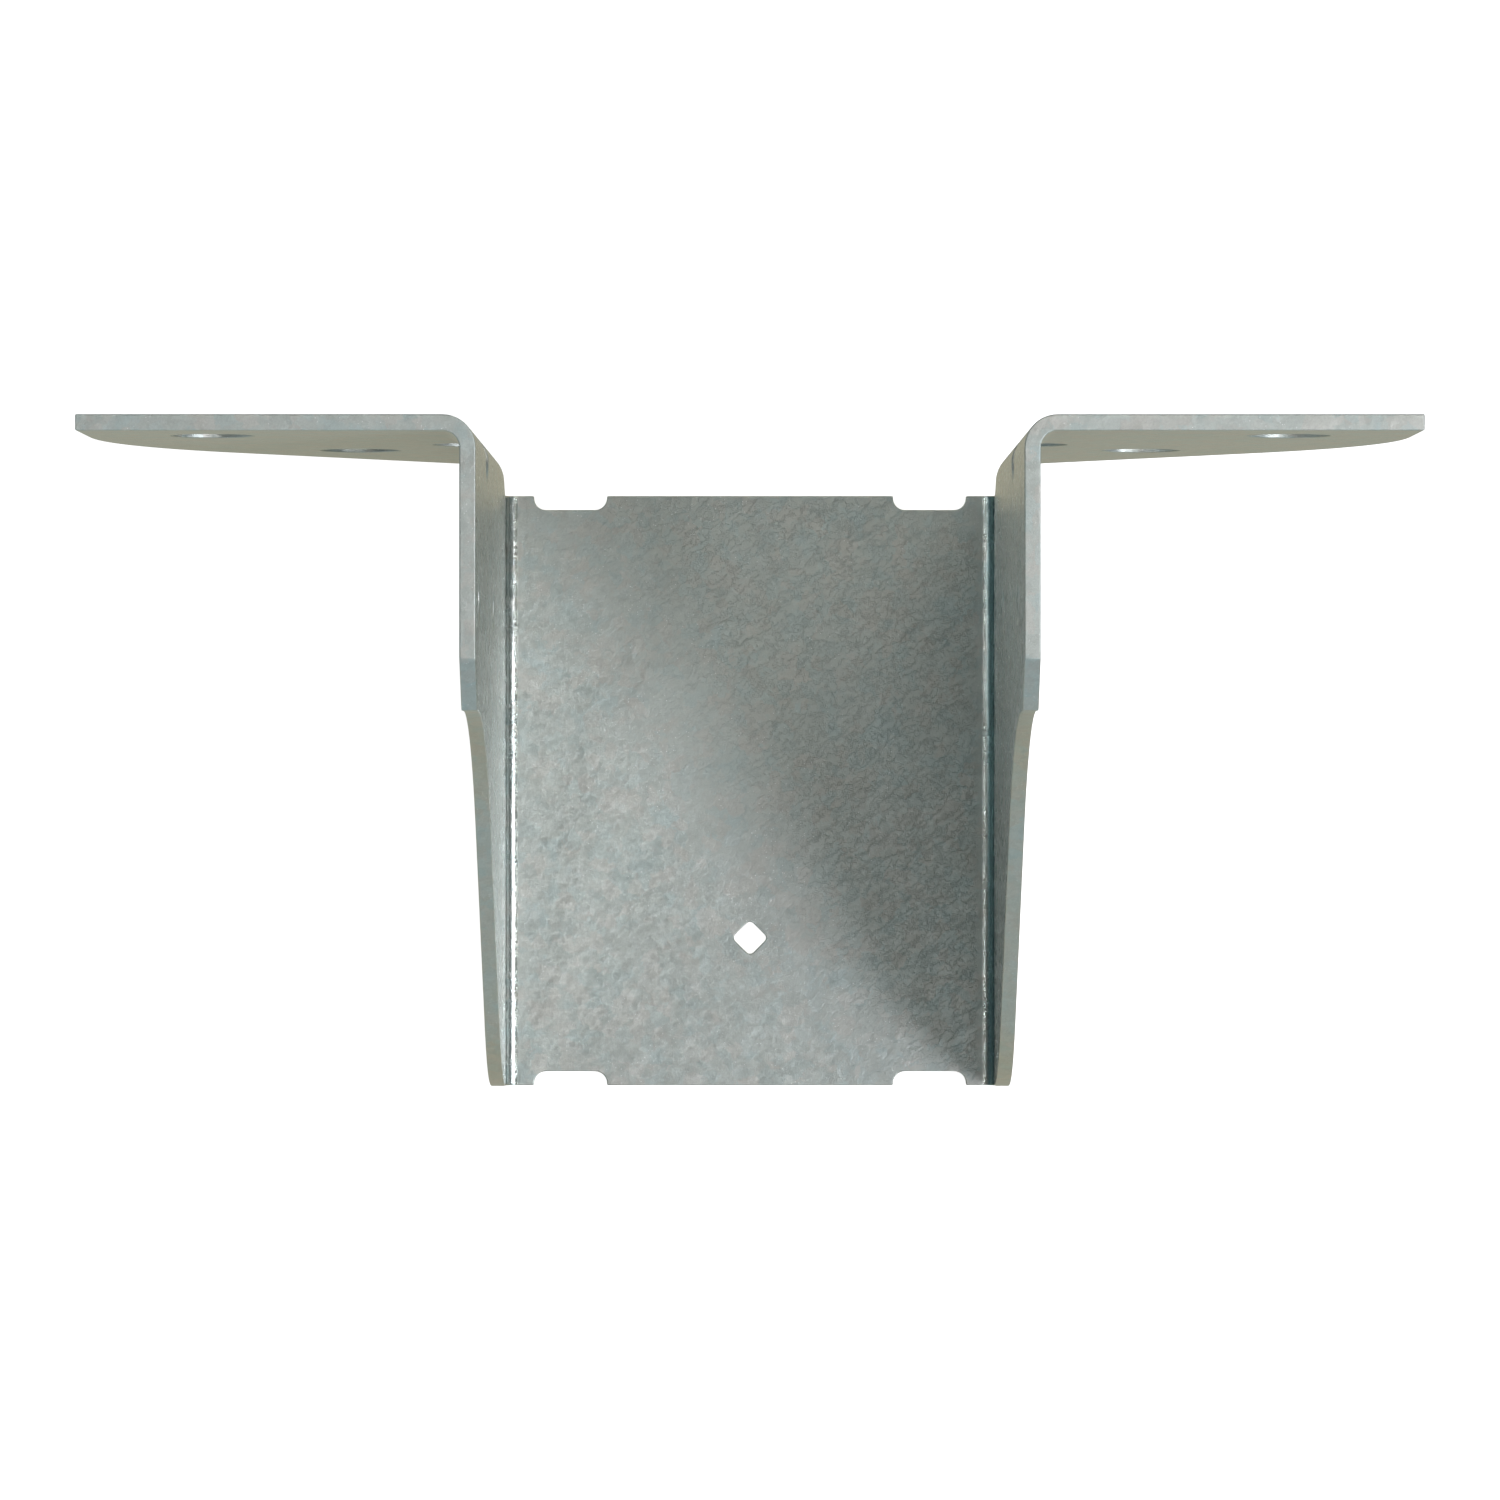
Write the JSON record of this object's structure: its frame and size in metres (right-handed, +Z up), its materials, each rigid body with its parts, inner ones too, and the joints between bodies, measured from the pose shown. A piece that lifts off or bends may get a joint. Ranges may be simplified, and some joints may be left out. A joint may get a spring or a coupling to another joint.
{
  "type": "joist hanger",
  "caption": "Folded galvanised hanger: a flat seat between two side plates carries a joist, and wide flanges with anchor holes fix it to a wall.",
  "frame": {"origin": "bottom centre of the bounding box: on the underside of the seat, midway between the side plates and midway in depth", "axes": "+X across the joist, +Y into the wall that the flanges lie on, +Z up"},
  "size_m": [0.2068, 0.109, 0.1381],
  "materials": {
    "galvanised_steel": "hot-dip galvanised, dull spangle"
  },
  "bodies": {
    "root": {"hanger_body": "galvanised_steel"}
  },
  "joints": []
}
